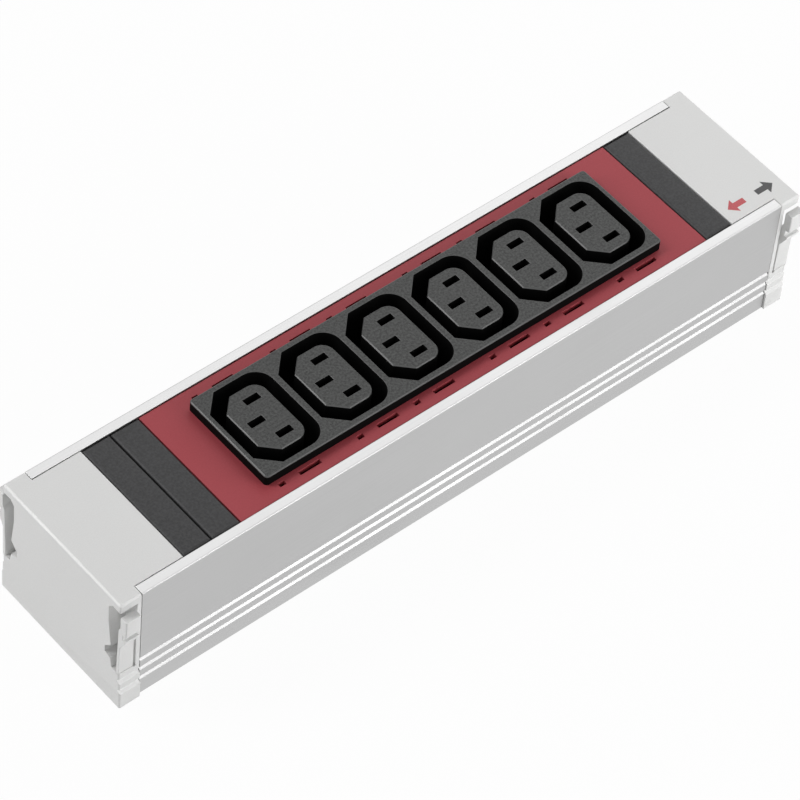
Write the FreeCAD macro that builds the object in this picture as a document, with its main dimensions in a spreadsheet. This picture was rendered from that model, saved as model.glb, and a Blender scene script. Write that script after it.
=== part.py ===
import FreeCAD, Part
import os
import re

import Sketcher
from FreeCAD import Vector

# Plug-in outlet module for a rack power rail, in millimetres.
# X runs along the module, Y across it and Z up from its flat underside.

# Closest two lengths may lie and still count as one, and the least volume a step must change
SAME_LENGTH = 1e-4
LEAST_CHANGE = 1e-6

# Slope of a countersunk head's cone, in degrees
COUNTERSINK_SLOPE = 45

OUTLETS = 6
LEFT_STRIPS = 2
RIGHT_STRIPS = 1
VEE_GROOVES = 3
CAP_VEE_GROOVES = 2

DIMENSIONS = {
    # Extruded profile
    "body_height": 44.4,
    "side_wall": 2.0,
    "floor_thickness": 2.0,
    "rim_width": 3.2,
    "rim_thickness": 1.9,
    "slide_height": 1.7,
    "ledge_width": 1.8,
    "ledge_thickness": 1.4,
    "vee_first": 6.4,
    "vee_pitch": 4.15,
    "vee_depth": 0.8,
    "profile_round": 0.6,
    "foot_round": 0.5,
    # Plates that slide under the rims
    "slide_clearance": 0.3,
    "wing_width": 3.0,
    "plate_inset": 0.4,
    "plate_skin": 1.8,
    "plate_margin": 12.725,
    "plate_side": 6.4,
    "strip_inset": 0.1,
    "strip_length": 9.75,
    "strip_round": 0.9,
    "joint_gap": 0.3,
    # Snap slots beside the outlet block
    "snap_from_skirt": 2.6,
    "snap_width": 1.3,
    "snap_short": 2.0,
    "snap_long": 7.2,
    "snap_step": 9.6,
    "snap_odd": 10.0,
    "snap_even": 6.4,
    # Pins and outlet cores
    "pin_spacing": 14.0,
    "earth_offset": 4.0,
    "pin_slot_length": 5.0,
    "pin_slot_width": 2.2,
    "mouth_depth": 2.5,
    "chamber_end": 0.1,
    "chamber_side": 0.8,
    "core_wall_earth": 2.4,
    "core_wall_far": 2.9,
    "core_wall_side": 2.5,
    "core_chamfer": 4.7,
    "core_round": 4.0,
    "core_edge": 0.35,
    # Outlet block
    "core_gap": 3.6,
    "well_rib": 1.9,
    "well_chamfer": 5.7,
    "well_round": 6.0,
    "well_depth": 16.5,
    "block_rise": 3.2,
    "block_margin_long": 1.5,
    "block_margin_wide": 1.8,
    "block_corner": 1.2,
    "block_edge": 0.6,
    "skirt_wall": 1.0,
    "skirt_clearance": 0.15,
    "nose_length": 6.0,
    "nose_reach": 0.8,
    "nose_height": 1.4,
    # Contacts
    "contact_end": 0.5,
    "contact_clearance": 0.15,
    "contact_sheet": 0.45,
    "contact_grip": 1.6,
    "contact_lip": 1.5,
    "contact_drop": 2.5,
    "contact_heel": 3.0,
    # Rear carrier and bars
    "base_floor": 3.0,
    "channel_depth": 4.0,
    "bar_clearance": 0.2,
    "bar_width": 4.4,
    "bar_thickness": 1.0,
    "bar_tab": 4.0,
    "earth_tab": 6.5,
    "riser_width": 2.6,
    "riser_height": 7.1,
    # Rear plug
    "plug_from_block": 10.3,
    "blade_width": 6.0,
    "blade_thickness": 1.5,
    "blade_setback": 1.5,
    "blade_tail": 3.0,
    "blade_tip": 0.4,
    "blade_fit": 0.05,
    "blade_end_gap": 6.5,
    "blade_side_gap": 4.75,
    "plug_recess": 0.4,
    "plug_clearance": 0.2,
    "plug_wall": 3.5,
    "plug_roof": 5.0,
    "plug_lip": 1.5,
    "plug_flange_thickness": 2.0,
    "plug_round": 1.5,
    # Earth strap
    "strap_width": 6.0,
    "strap_thickness": 0.8,
    "strap_foot": 11.0,
    "strap_clearance": 0.1,
    # Screws
    "screw_shank": 2.9,
    "screw_head": 5.6,
    "screw_bite": 7.0,
    "screw_fit": 0.05,
    # End caps
    "cap_length": 7.2,
    "cap_seam": 0.15,
    "cap_step": 0.35,
    "label_reach": 23.3,
    "label_skin": 2.2,
    "label_round": 0.3,
    "cap_wall": 2.2,
    "cap_corner": 0.6,
    "cap_bevel": 0.55,
    "cap_clearance": 0.1,
    "cheek_length": 7.0,
    "cheek_thickness": 2.0,
    "boss_width": 8.0,
    "boss_height": 7.0,
    "boss_inset": 7.8,
    # Latch pockets in the end caps
    "pocket_reach": 5.55,
    "pocket_width": 4.9,
    "pocket_bevel": 1.6,
    "pocket_taper": 1.2,
    "pocket_root": 1.7,
    "eave_thickness": 3.1,
    "tool_depth": 1.3,
    "tool_foot": 3.2,
    "tool_kick": 0.8,
    "tool_slope": 2.7,
    "tool_flat": 2.4,
    "slit_end": 1.1,
    # Latches
    "latch_out": 0.75,
    "latch_above_vee": 2.55,
    "latch_thickness": 1.1,
    "latch_slit": 0.7,
    "latch_lean": 0.6,
    "pivot_clearance": 0.06,
    "thumb_reach": 2.6,
    "thumb_height": 6.5,
    "thumb_gap": 1.5,
    "thumb_round": 0.5,
    "notch_height": 2.3,
    "neck_reach": 1.1,
    "hook_reach": 2.2,
    "hook_lip": 0.6,
    "hook_slope": 4.2,
}

NAMES = re.compile(r"\b(" + "|".join(DIMENSIONS) + r")\b")

doc = FreeCAD.newDocument("OutletModule")
sheet = doc.addObject("Spreadsheet::Sheet", "Dims")
for row_number, (alias, number) in enumerate(DIMENSIONS.items(), 1):
    sheet.set(f"A{row_number}", alias)
    sheet.set(f"B{row_number}", str(number))
    sheet.setAlias(f"B{row_number}", alias)
doc.recompute()

# Sizes and places that several pieces share, as formulas of the named sizes
CHAMBER_LENGTH = "(pin_slot_length + 2*chamber_end)"
CHAMBER_WIDTH = "(pin_slot_width + 2*chamber_side)"
CORE_LENGTH = f"(earth_offset + {CHAMBER_LENGTH} + core_wall_earth + core_wall_far)"
CORE_WIDTH = f"(pin_spacing + {CHAMBER_WIDTH} + 2*core_wall_side)"
PIN_AXIS = f"({CORE_LENGTH}/2 - core_wall_far - {CHAMBER_LENGTH}/2)"
WELL_LENGTH = f"({CORE_LENGTH} + 2*core_gap)"
WELL_WIDTH = f"({CORE_WIDTH} + 2*core_gap)"
OUTLET_PITCH = f"({WELL_LENGTH} + well_rib)"
ROW_LENGTH = f"({OUTLETS - 1}*{OUTLET_PITCH} + {WELL_LENGTH})"
BLOCK_LENGTH = f"({ROW_LENGTH} + 2*block_margin_long)"
BLOCK_WIDTH = f"({WELL_WIDTH} + 2*block_margin_wide)"
BLOCK_CENTRE = f"({LEFT_STRIPS - RIGHT_STRIPS}*strip_length/2)"
SKIRT_END = f"({ROW_LENGTH}/2 + skirt_wall)"
SKIRT_SIDE = f"({WELL_WIDTH}/2 + skirt_wall)"
PLATE_LENGTH = f"({BLOCK_LENGTH} + 2*plate_margin)"
LABEL_EDGE = f"(({PLATE_LENGTH} + {LEFT_STRIPS + RIGHT_STRIPS}*strip_length)/2)"
END_FACE = f"({LABEL_EDGE} + label_reach)"
PROFILE_END = f"({END_FACE} - cap_length)"
CAP_START = f"({PROFILE_END} + cap_seam)"
RIM_EDGE = f"({SKIRT_SIDE} + plate_side)"
SIDE = f"({RIM_EDGE} + rim_width)"
SLIDE_SIDE = f"({SIDE} - side_wall)"
SLIDE_TOP = "(body_height - rim_thickness)"
SLIDE_FOOT = f"({SLIDE_TOP} - slide_height)"
LEDGE_FOOT = f"({SLIDE_FOOT} - ledge_thickness)"
PLATE_TOP = "(body_height - plate_inset)"
BLOCK_TOP = "(body_height + block_rise)"
WELL_FLOOR = f"({BLOCK_TOP} - well_depth)"
BAR_FOOT = f"({WELL_FLOOR} - channel_depth)"
BAR_TOP = f"({BAR_FOOT} + bar_thickness)"
PLUG_X = f"({BLOCK_CENTRE} + {SKIRT_END} + plug_from_block)"
BAR_END = f"({PLUG_X} + bar_tab)"
PLUG_LENGTH = "(blade_width + 2*blade_end_gap + 2*plug_wall)"
PLUG_WIDTH = "(pin_spacing + blade_thickness + 2*blade_side_gap + 2*plug_wall)"
BLADE_TOP = f"({BAR_FOOT} - riser_height)"
PLUG_TOP = f"({BLADE_TOP} - blade_tail)"
PLUG_EAR = "(screw_head + 2*plug_clearance)"
FLANGE_TOP = "(floor_thickness + plug_flange_thickness)"
STRAP_END = f"({BLOCK_CENTRE} - {SKIRT_END} - earth_tab)"
STRAP_TOP = "(floor_thickness + strap_thickness)"
HEAD_HEIGHT = "((screw_head - screw_shank)/2)"
BOSS_X = f"({PROFILE_END} - cheek_length/2)"
BOSS_Y = f"({SLIDE_SIDE} - boss_inset)"
POCKET_SIDE = f"({SIDE} - pocket_width)"
EAVE = "(body_height - eave_thickness)"
THUMB_TOP = f"({EAVE} - thumb_gap)"
THUMB_FOOT = f"({THUMB_TOP} - thumb_height)"
HOOK_TOP = f"({THUMB_FOOT} - notch_height)"
LATCH_Y = f"({SIDE} - latch_out)"
LATCH_Z = f"(vee_first + {CAP_VEE_GROOVES - 1}*vee_pitch + 2*vee_depth + latch_above_vee)"


def bound(formula):
    """The formula with every size name pointed at the sheet."""
    return NAMES.sub(r"Dims.\1", formula)


def value(formula):
    """What the formula comes to with the present sizes."""
    return float(sheet.evalExpression(bound(formula)))


def new_body(label):
    body = doc.addObject("PartDesign::Body", label)
    body.Label = label
    return body


def origin_item(body, role):
    return next(item for item in body.Origin.OriginFeatures if item.Role == role)


def sketch_on(body, name, plane, height="0"):
    """An empty sketch on one of the body's origin planes, moved along its normal."""
    sketch = body.newObject("Sketcher::SketchObject", name)
    sketch.AttachmentSupport = (origin_item(body, plane + "_Plane"), [""])
    sketch.MapMode = "FlatFace"
    sketch.setExpression("AttachmentOffset.Base.z", bound(height))
    return sketch


def add_polygon(sketch, corners):
    """A closed outline whose corners are held by formulas from the origin."""
    first = sketch.GeometryCount
    count = len(corners)
    points = [Vector(value(across), value(up), 0) for across, up in corners]
    sides = [Part.LineSegment(a, b) for a, b in zip(points, points[1:] + points[:1])]
    sketch.addGeometry(sides, False)
    joints = [
        Sketcher.Constraint("Coincident", first + i, 2, first + (i + 1) % count, 1)
        for i in range(count)
    ]
    sketch.addConstraint(joints)
    for i, (across, up) in enumerate(corners):
        hold(sketch, "DistanceX", (-1, 1, first + i, 1), across)
        hold(sketch, "DistanceY", (-1, 1, first + i, 1), up)


def add_rectangle(sketch, left, low, right, high):
    add_polygon(sketch, [(left, low), (right, low), (right, high), (left, high)])


def add_circle(sketch, across, up, diameter):
    index = sketch.GeometryCount
    centre = Vector(value(across), value(up), 0)
    sketch.addGeometry(Part.Circle(centre, Vector(0, 0, 1), value(diameter) / 2), False)
    hold(sketch, "DistanceX", (-1, 1, index, 3), across)
    hold(sketch, "DistanceY", (-1, 1, index, 3), up)
    hold(sketch, "Diameter", (index,), diameter)


def hold(sketch, kind, place, formula):
    """A dimension in a sketch that follows its formula."""
    index = sketch.addConstraint(Sketcher.Constraint(kind, *place, value(formula)))
    sketch.setExpression(f"Constraints[{index}]", bound(formula))


def both_sides(half):
    """A full outline from its right half, mirrored about the vertical axis."""
    return half + [(f"-({across})", up) for across, up in reversed(half)]


def extrude(body, kind, name, sketch, length, reverse):
    before = 0.0
    if body.Tip and not body.Shape.isNull():
        before = body.Shape.Volume
    feature = body.newObject("PartDesign::" + kind, name)
    feature.Profile = sketch
    feature.setExpression("Length", bound(length))
    feature.Reversed = reverse
    body.Tip = feature
    doc.recompute()
    change = feature.Shape.Volume - before
    if kind == "Pocket":
        change = -change
    if change < LEAST_CHANGE:
        raise RuntimeError(f"{body.Label}: {name} changes nothing")
    return feature


def pad(body, name, sketch, length, reverse=False):
    return extrude(body, "Pad", name, sketch, length, reverse)


def pocket(body, name, sketch, length, reverse=False):
    return extrude(body, "Pocket", name, sketch, length, reverse)


def repeat_along_x(body, name, feature, spacing, count):
    pattern = body.newObject("PartDesign::LinearPattern", name)
    pattern.Originals = [feature]
    pattern.Direction = (origin_item(body, "X_Axis"), [""])
    pattern.Mode = "Spacing"
    pattern.setExpression("Offset", bound(spacing))
    pattern.Occurrences = count
    body.Tip = pattern
    doc.recompute()
    return pattern


def soften(body, kind, name, size, wanted):
    """A fillet or a chamfer on the wanted edges of the body as it stands."""
    base = body.Tip
    edges = [f"Edge{i}" for i, edge in enumerate(base.Shape.Edges, 1) if wanted(edge)]
    if not edges:
        raise RuntimeError(f"{body.Label}: {name} finds no edge")
    feature = body.newObject("PartDesign::" + kind, name)
    feature.Base = (base, edges)
    feature.setExpression("Radius" if kind == "Fillet" else "Size", bound(size))
    body.Tip = feature
    doc.recompute()
    return feature


def near(first, second):
    return abs(first - second) < SAME_LENGTH


def runs_along(edge, axis):
    """True for a straight edge parallel to the axis."""
    if len(edge.Vertexes) != 2:
        return False
    span = edge.Vertexes[1].Point - edge.Vertexes[0].Point
    return near(abs(span.dot(axis)), edge.Length)


def level(edge, height):
    """True for an edge that lies flat at the height."""
    box = edge.BoundBox
    return near(box.ZMin, height) and near(box.ZMax, height)


def mirror_copy(label, source, normal):
    copy = doc.addObject("Part::Mirroring", label)
    copy.Label = label
    copy.Source = source
    copy.Normal = normal
    doc.recompute()
    return copy


ALONG_X = Vector(1, 0, 0)
ALONG_Y = Vector(0, 1, 0)
ALONG_Z = Vector(0, 0, 1)


def side_below(grooves, step):
    """Outer side under a number of V grooves, each of which sets it out by the step."""
    return f"({SIDE} + {grooves}*{step})"


def vee_corners(count, step):
    """Corners of the decorative V grooves up one outer side, from the bottom."""
    corners = [(side_below(count, step), "0")]
    for i in range(count):
        lower = side_below(count - i, step)
        upper = side_below(count - i - 1, step)
        middle = f"(vee_first + {i}*vee_pitch + vee_depth)"
        corners.append((lower, f"{middle} - vee_depth - {step}"))
        corners.append((f"{upper} - vee_depth", middle))
        corners.append((upper, f"{middle} + vee_depth"))
    return corners


def screw_places():
    """Where the four end cap screws stand."""
    return [
        (f"{end}*{BOSS_X}", f"{side}*{BOSS_Y}")
        for end in (-1, 1)
        for side in (-1, 1)
    ]


PLUG_SCREWS = [
    (PLUG_X, f"{side}*({PLUG_WIDTH}/2 + plug_clearance + {PLUG_EAR}/2)") for side in (-1, 1)
]
EARTH_SCREW = [(f"({STRAP_END} - strap_foot/2)", "0")]


def make_profile():
    """Extruded aluminium housing, open at the top between its two rims."""
    body = new_body("housing_profile")
    ledge_edge = f"{SLIDE_SIDE} - ledge_width"
    half = vee_corners(VEE_GROOVES, "0") + [
        (SIDE, "body_height"),
        (RIM_EDGE, "body_height"),
        (RIM_EDGE, SLIDE_TOP),
        (SLIDE_SIDE, SLIDE_TOP),
        (SLIDE_SIDE, SLIDE_FOOT),
        (ledge_edge, SLIDE_FOOT),
        (ledge_edge, LEDGE_FOOT),
        (SLIDE_SIDE, LEDGE_FOOT),
        (SLIDE_SIDE, "floor_thickness"),
    ]
    section = sketch_on(body, "ProfileSection", "YZ", f"-{PROFILE_END}")
    add_polygon(section, both_sides(half))
    pad(body, "ProfileLength", section, f"2*{PROFILE_END}")

    window = sketch_on(body, "PlugWindowOutline", "XY", "floor_thickness")
    reach_x = f"({PLUG_LENGTH}/2 + plug_clearance)"
    reach_y = f"({PLUG_WIDTH}/2 + plug_clearance)"
    add_rectangle(
        window,
        f"{PLUG_X} - {reach_x}",
        f"-{reach_y}",
        f"{PLUG_X} + {reach_x}",
        reach_y,
    )
    pocket(body, "PlugWindow", window, "floor_thickness")

    holes = sketch_on(body, "ScrewHoleCircles", "XY", "floor_thickness")
    for place in screw_places() + PLUG_SCREWS + EARTH_SCREW:
        add_circle(holes, *place, "screw_shank + 2*screw_fit")
    pocket(body, "ScrewHoles", holes, "floor_thickness")
    cap_spots = [(value(across), value(up)) for across, up in screw_places()]

    def at_cap_screw(edge):
        centre = edge.CenterOfMass
        return level(edge, 0.0) and any(
            near(centre.x, across) and near(centre.y, up) for across, up in cap_spots
        )

    soften(body, "Chamfer", "Countersinks", f"{HEAD_HEIGHT} + 2*screw_fit", at_cap_screw)

    height = value("body_height")
    side = value(SIDE)

    def outer_edge(edge, at):
        return runs_along(edge, ALONG_X) and level(edge, at) and near(abs(edge.CenterOfMass.y), side)

    soften(body, "Fillet", "RimRounds", "profile_round", lambda edge: outer_edge(edge, height))
    soften(body, "Fillet", "FootRounds", "foot_round", lambda edge: outer_edge(edge, 0.0))
    return body


def slide_half(top, skin):
    """Right half of a plate section that slides in the grooves under the rims."""
    lip = f"({RIM_EDGE} - slide_clearance)"
    wing = f"({SLIDE_SIDE} - slide_clearance)"
    return [
        (lip, top),
        (lip, f"{SLIDE_TOP} - slide_clearance"),
        (wing, f"{SLIDE_TOP} - slide_clearance"),
        (wing, SLIDE_FOOT),
        (f"{wing} - wing_width", SLIDE_FOOT),
        (f"{wing} - wing_width", f"{top} - {skin}"),
    ]


def make_strip(label, left):
    """Blank filler strip between the outlet plate and an end cap."""
    body = new_body(label)
    top = "(body_height - strip_inset)"
    section = sketch_on(body, "StripSection", "YZ", f"{left} + joint_gap/2")
    add_polygon(section, both_sides(slide_half(top, "plate_skin")))
    pad(body, "StripLength", section, "strip_length - joint_gap")
    height = value(top)
    soften(body, "Fillet", "StripRounds", "strip_round", lambda edge: level(edge, height))
    return body


def outlet_x(number):
    """Centre of an outlet well along the module, the first at the left."""
    return f"({BLOCK_CENTRE} + ({number} - {(OUTLETS - 1) / 2})*{OUTLET_PITCH})"


def make_socket_plate():
    """Coloured plate that carries the outlet block and slides into the profile."""
    body = new_body("socket_plate")
    left = f"(-{LABEL_EDGE} + {LEFT_STRIPS}*strip_length)"
    section = sketch_on(body, "PlateSection", "YZ", f"{left} + joint_gap/2")
    add_polygon(section, both_sides(slide_half(PLATE_TOP, "plate_skin")))
    pad(body, "PlateLength", section, f"{PLATE_LENGTH} - joint_gap")

    window = sketch_on(body, "BlockWindowOutline", "XY", PLATE_TOP)
    reach_x = f"({SKIRT_END} + skirt_clearance)"
    reach_y = f"({SKIRT_SIDE} + skirt_clearance)"
    add_rectangle(
        window,
        f"{BLOCK_CENTRE} - {reach_x}",
        f"-{reach_y}",
        f"{BLOCK_CENTRE} + {reach_x}",
        reach_y,
    )
    pocket(body, "BlockWindow", window, "plate_skin")

    slots = sketch_on(body, "SnapSlotOutlines", "XY", PLATE_TOP)
    for number, back in ((0, "snap_odd"), (1, "snap_even")):
        short = f"({outlet_x(number)} + {PIN_AXIS} - {back})"
        for middle, size in ((short, "snap_short"), (f"({short} + snap_step)", "snap_long")):
            for side in (-1, 1):
                add_rectangle(
                    slots,
                    f"{middle} - {size}/2",
                    f"{side}*({SKIRT_SIDE} + snap_from_skirt) - snap_width/2",
                    f"{middle} + {size}/2",
                    f"{side}*({SKIRT_SIDE} + snap_from_skirt) + snap_width/2",
                )
    cut = pocket(body, "SnapSlots", slots, "plate_skin")
    repeat_along_x(body, "SnapSlotRow", cut, f"2*{OUTLET_PITCH}", OUTLETS // 2)
    return body


def outlet_outline(centre, length, width, chamfer):
    """Outline of a well or a core: two cut corners on the earth side."""
    half_x = f"({length}/2)"
    half_y = f"({width}/2)"
    left = f"{centre} - {half_x}"
    right = f"{centre} + {half_x}"
    return [
        (f"{left} + {chamfer}", f"-{half_y}"),
        (right, f"-{half_y}"),
        (right, half_y),
        (f"{left} + {chamfer}", half_y),
        (left, f"{half_y} - {chamfer}"),
        (left, f"-{half_y} + {chamfer}"),
    ]


def make_outlet_frame():
    """Moulded block with one open ring well for each outlet."""
    body = new_body("outlet_frame")
    cover = sketch_on(body, "CoverOutline", "XY", PLATE_TOP)
    half_x = f"({BLOCK_LENGTH}/2)"
    half_y = f"({BLOCK_WIDTH}/2)"
    add_rectangle(
        cover,
        f"{BLOCK_CENTRE} - {half_x}",
        f"-{half_y}",
        f"{BLOCK_CENTRE} + {half_x}",
        half_y,
    )
    pad(body, "Cover", cover, f"{BLOCK_TOP} - {PLATE_TOP}")
    top = value(BLOCK_TOP)
    soften(
        body, "Fillet", "CoverCorners", "block_corner", lambda edge: runs_along(edge, ALONG_Z)
    )
    soften(body, "Fillet", "CoverEdge", "block_edge", lambda edge: level(edge, top))

    skirt = sketch_on(body, "SkirtOutline", "XY", WELL_FLOOR)
    add_rectangle(
        skirt,
        f"{BLOCK_CENTRE} - {SKIRT_END}",
        f"-{SKIRT_SIDE}",
        f"{BLOCK_CENTRE} + {SKIRT_END}",
        SKIRT_SIDE,
    )
    pad(body, "Skirt", skirt, f"{PLATE_TOP} - {WELL_FLOOR}")

    noses = sketch_on(body, "NoseSection", "YZ", f"{outlet_x(0)} - nose_length/2")
    nose_top = f"({PLATE_TOP} - plate_skin - skirt_clearance)"
    for side in (-1, 1):
        add_polygon(
            noses,
            [
                (f"{side}*({SKIRT_SIDE} - skirt_wall/2)", nose_top),
                (f"{side}*({SKIRT_SIDE} + nose_reach)", nose_top),
                (f"{side}*{SKIRT_SIDE}", f"{nose_top} - nose_height"),
                (f"{side}*({SKIRT_SIDE} - skirt_wall/2)", f"{nose_top} - nose_height"),
            ],
        )
    nose = pad(body, "Noses", noses, "nose_length")
    repeat_along_x(body, "NoseRow", nose, OUTLET_PITCH, OUTLETS)

    well = sketch_on(body, "WellOutline", "XY", BLOCK_TOP)
    add_polygon(well, outlet_outline(outlet_x(0), WELL_LENGTH, WELL_WIDTH, "well_chamfer"))
    cut = pocket(body, "Well", well, "well_depth")
    repeat_along_x(body, "WellRow", cut, OUTLET_PITCH, OUTLETS)
    right_sides = [value(f"{outlet_x(i)} + {WELL_LENGTH}/2") for i in range(OUTLETS)]
    well_side = value(f"{WELL_WIDTH}/2")

    def round_corner(edge):
        middle = edge.CenterOfMass
        on_side = near(abs(middle.y), well_side)
        return runs_along(edge, ALONG_Z) and on_side and any(near(middle.x, x) for x in right_sides)

    soften(body, "Fillet", "WellRounds", "well_round", round_corner)
    return body


def pin_places(number):
    """Centres of the line, neutral and earth pins of one outlet."""
    axis = f"({outlet_x(number)} + {PIN_AXIS})"
    return [
        (axis, "pin_spacing/2"),
        (axis, "-pin_spacing/2"),
        (f"({axis} - earth_offset)", "0"),
    ]


def make_core(number):
    """Island in the middle of an outlet, with a slot and a chamber for each pin."""
    body = new_body(f"socket_core_{number + 1}")
    outline = sketch_on(body, "CoreOutline", "XY", WELL_FLOOR)
    add_polygon(outline, outlet_outline(outlet_x(number), CORE_LENGTH, CORE_WIDTH, "core_chamfer"))
    pad(body, "Core", outline, "well_depth")
    right = value(f"{outlet_x(number)} + {CORE_LENGTH}/2")
    top = value(BLOCK_TOP)
    soften(
        body,
        "Fillet",
        "CoreRounds",
        "core_round",
        lambda edge: runs_along(edge, ALONG_Z) and near(edge.CenterOfMass.x, right),
    )
    soften(body, "Chamfer", "CoreEdge", "core_edge", lambda edge: level(edge, top))

    slots = sketch_on(body, "PinSlotOutlines", "XY", BLOCK_TOP)
    chambers = sketch_on(body, "ChamberOutlines", "XY", WELL_FLOOR)
    for across, up in pin_places(number):
        for sketch, length, width in (
            (slots, "pin_slot_length", "pin_slot_width"),
            (chambers, CHAMBER_LENGTH, CHAMBER_WIDTH),
        ):
            add_rectangle(
                sketch,
                f"{across} - {length}/2",
                f"{up} - {width}/2",
                f"{across} + {length}/2",
                f"{up} + {width}/2",
            )
    pocket(body, "Chambers", chambers, "well_depth - mouth_depth", reverse=True)
    pocket(body, "PinSlots", slots, "mouth_depth")
    return body


def make_base():
    """Rear carrier under the outlet block, with a channel for each bar."""
    body = new_body("outlet_base")
    outline = sketch_on(body, "BaseOutline", "XY", WELL_FLOOR)
    add_rectangle(
        outline,
        f"{BLOCK_CENTRE} - {SKIRT_END}",
        f"-{SKIRT_SIDE}",
        f"{BLOCK_CENTRE} + {SKIRT_END}",
        SKIRT_SIDE,
    )
    pad(body, "Base", outline, "base_floor + channel_depth", reverse=True)
    channels = sketch_on(body, "ChannelOutlines", "XY", WELL_FLOOR)
    for middle in ("pin_spacing/2", "0", "-pin_spacing/2"):
        add_rectangle(
            channels,
            f"{BLOCK_CENTRE} - {SKIRT_END}",
            f"{middle} - bar_width/2 - bar_clearance",
            f"{BLOCK_CENTRE} + {SKIRT_END}",
            f"{middle} + bar_width/2 + bar_clearance",
        )
    pocket(body, "Channels", channels, "channel_depth")
    return body


def make_contacts(label, pin):
    """Row of sprung fork contacts, one standing on the bar under each outlet."""
    body = new_body(label)
    axis, middle = pin_places(0)[pin]
    length = f"({CHAMBER_LENGTH} - 2*contact_end)"
    tip = f"({BLOCK_TOP} - mouth_depth - contact_drop)"
    pinch = f"({tip} - contact_lip)"
    heel = f"({BAR_TOP} + contact_heel)"
    flare = f"({CHAMBER_WIDTH}/2 - contact_clearance)"
    spread = f"({flare} - contact_clearance)"
    half = [
        (spread, BAR_TOP),
        (spread, heel),
        ("contact_grip/2 + contact_sheet", pinch),
        (flare, tip),
        (f"{flare} - contact_sheet", tip),
        ("contact_grip/2", pinch),
        (f"{spread} - contact_sheet", heel),
        (f"{spread} - contact_sheet", f"{BAR_TOP} + contact_sheet"),
    ]
    section = sketch_on(body, "ContactSection", "YZ", f"{axis} - {length}/2")
    add_polygon(section, [(f"{middle} + ({across})", up) for across, up in both_sides(half)])
    contact = pad(body, "Contact", section, length)
    repeat_along_x(body, "ContactRow", contact, OUTLET_PITCH, OUTLETS)
    return body


def make_cuboid(label, size, corner):
    """Plain cuboid of the size, with its lowest corner at the place."""
    cuboid = doc.addObject("Part::Box", label)
    cuboid.Label = label
    for path, formula in zip(("Length", "Width", "Height"), size):
        cuboid.setExpression(path, bound(formula))
    for axis, formula in zip("xyz", corner):
        cuboid.setExpression("Placement.Base." + axis, bound(formula))
    doc.recompute()
    return cuboid


def make_bar(label, pin, left):
    """Flat brass bar that joins a row of contacts and ends over the rear plug."""
    return make_cuboid(
        label,
        (f"{BAR_END} - ({left})", "bar_width", "bar_thickness"),
        (left, f"{pin_places(0)[pin][1]} - bar_width/2", BAR_FOOT),
    )


def make_riser(label, pin):
    """Square brass rod from the end of a bar down to its plug blade."""
    return make_cuboid(
        label,
        ("riser_width", "riser_width", "riser_height"),
        (
            f"{PLUG_X} - riser_width/2",
            f"{pin_places(0)[pin][1]} - riser_width/2",
            BLADE_TOP,
        ),
    )


def blade_outlines(sketch, grow):
    for across in ("-pin_spacing/2", "0", "pin_spacing/2"):
        add_rectangle(
            sketch,
            f"{PLUG_X} - blade_width/2 - {grow}",
            f"{across} - blade_thickness/2 - {grow}",
            f"{PLUG_X} + blade_width/2 + {grow}",
            f"{across} + blade_thickness/2 + {grow}",
        )


def make_plug():
    """Shrouded plug that looks out of the underside and meets the rail."""
    body = new_body("rear_plug_body")

    def add_plug_rectangle(sketch, grow_x, grow_y):
        half_x = f"({PLUG_LENGTH}/2 + {grow_x})"
        half_y = f"({PLUG_WIDTH}/2 + {grow_y})"
        add_rectangle(
            sketch, f"{PLUG_X} - {half_x}", f"-{half_y}", f"{PLUG_X} + {half_x}", half_y
        )

    shell = sketch_on(body, "PlugOutline", "XY", "plug_recess")
    add_plug_rectangle(shell, "0", "0")
    pad(body, "PlugShell", shell, f"{PLUG_TOP} - plug_recess")
    flange = sketch_on(body, "FlangeOutline", "XY", "floor_thickness")
    add_plug_rectangle(flange, "(plug_clearance + plug_lip)", f"(plug_clearance + {PLUG_EAR})")
    pad(body, "PlugFlange", flange, "plug_flange_thickness")
    ear = value(f"{PLUG_WIDTH}/2 + plug_clearance + {PLUG_EAR}")
    soften(
        body,
        "Fillet",
        "EarRounds",
        "plug_round",
        lambda edge: runs_along(edge, ALONG_Z) and near(abs(edge.CenterOfMass.y), ear),
    )
    well = sketch_on(body, "PlugWellOutline", "XY", "plug_recess")
    add_plug_rectangle(well, "-plug_wall", "-plug_wall")
    pocket(body, "PlugWell", well, f"{PLUG_TOP} - plug_recess - plug_roof", reverse=True)
    slots = sketch_on(body, "BladeSlotOutlines", "XY", PLUG_TOP)
    blade_outlines(slots, "blade_fit")
    pocket(body, "BladeSlots", slots, "plug_roof")
    holes = sketch_on(body, "PlugHoleCircles", "XY", FLANGE_TOP)
    for place in PLUG_SCREWS:
        add_circle(holes, *place, "screw_shank + 2*screw_fit")
    pocket(body, "PlugHoles", holes, "plug_flange_thickness")
    return body


def make_blades():
    """Line, earth and neutral blades, from the plug's mouth up to the risers."""
    body = new_body("rear_plug_blades")
    tip = "(plug_recess + blade_setback)"
    outline = sketch_on(body, "BladeOutlines", "XY", tip)
    blade_outlines(outline, "0")
    pad(body, "Blades", outline, f"{BLADE_TOP} - {tip}")
    foot = value(tip)
    soften(body, "Chamfer", "BladeTips", "blade_tip", lambda edge: level(edge, foot))
    return body


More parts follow.
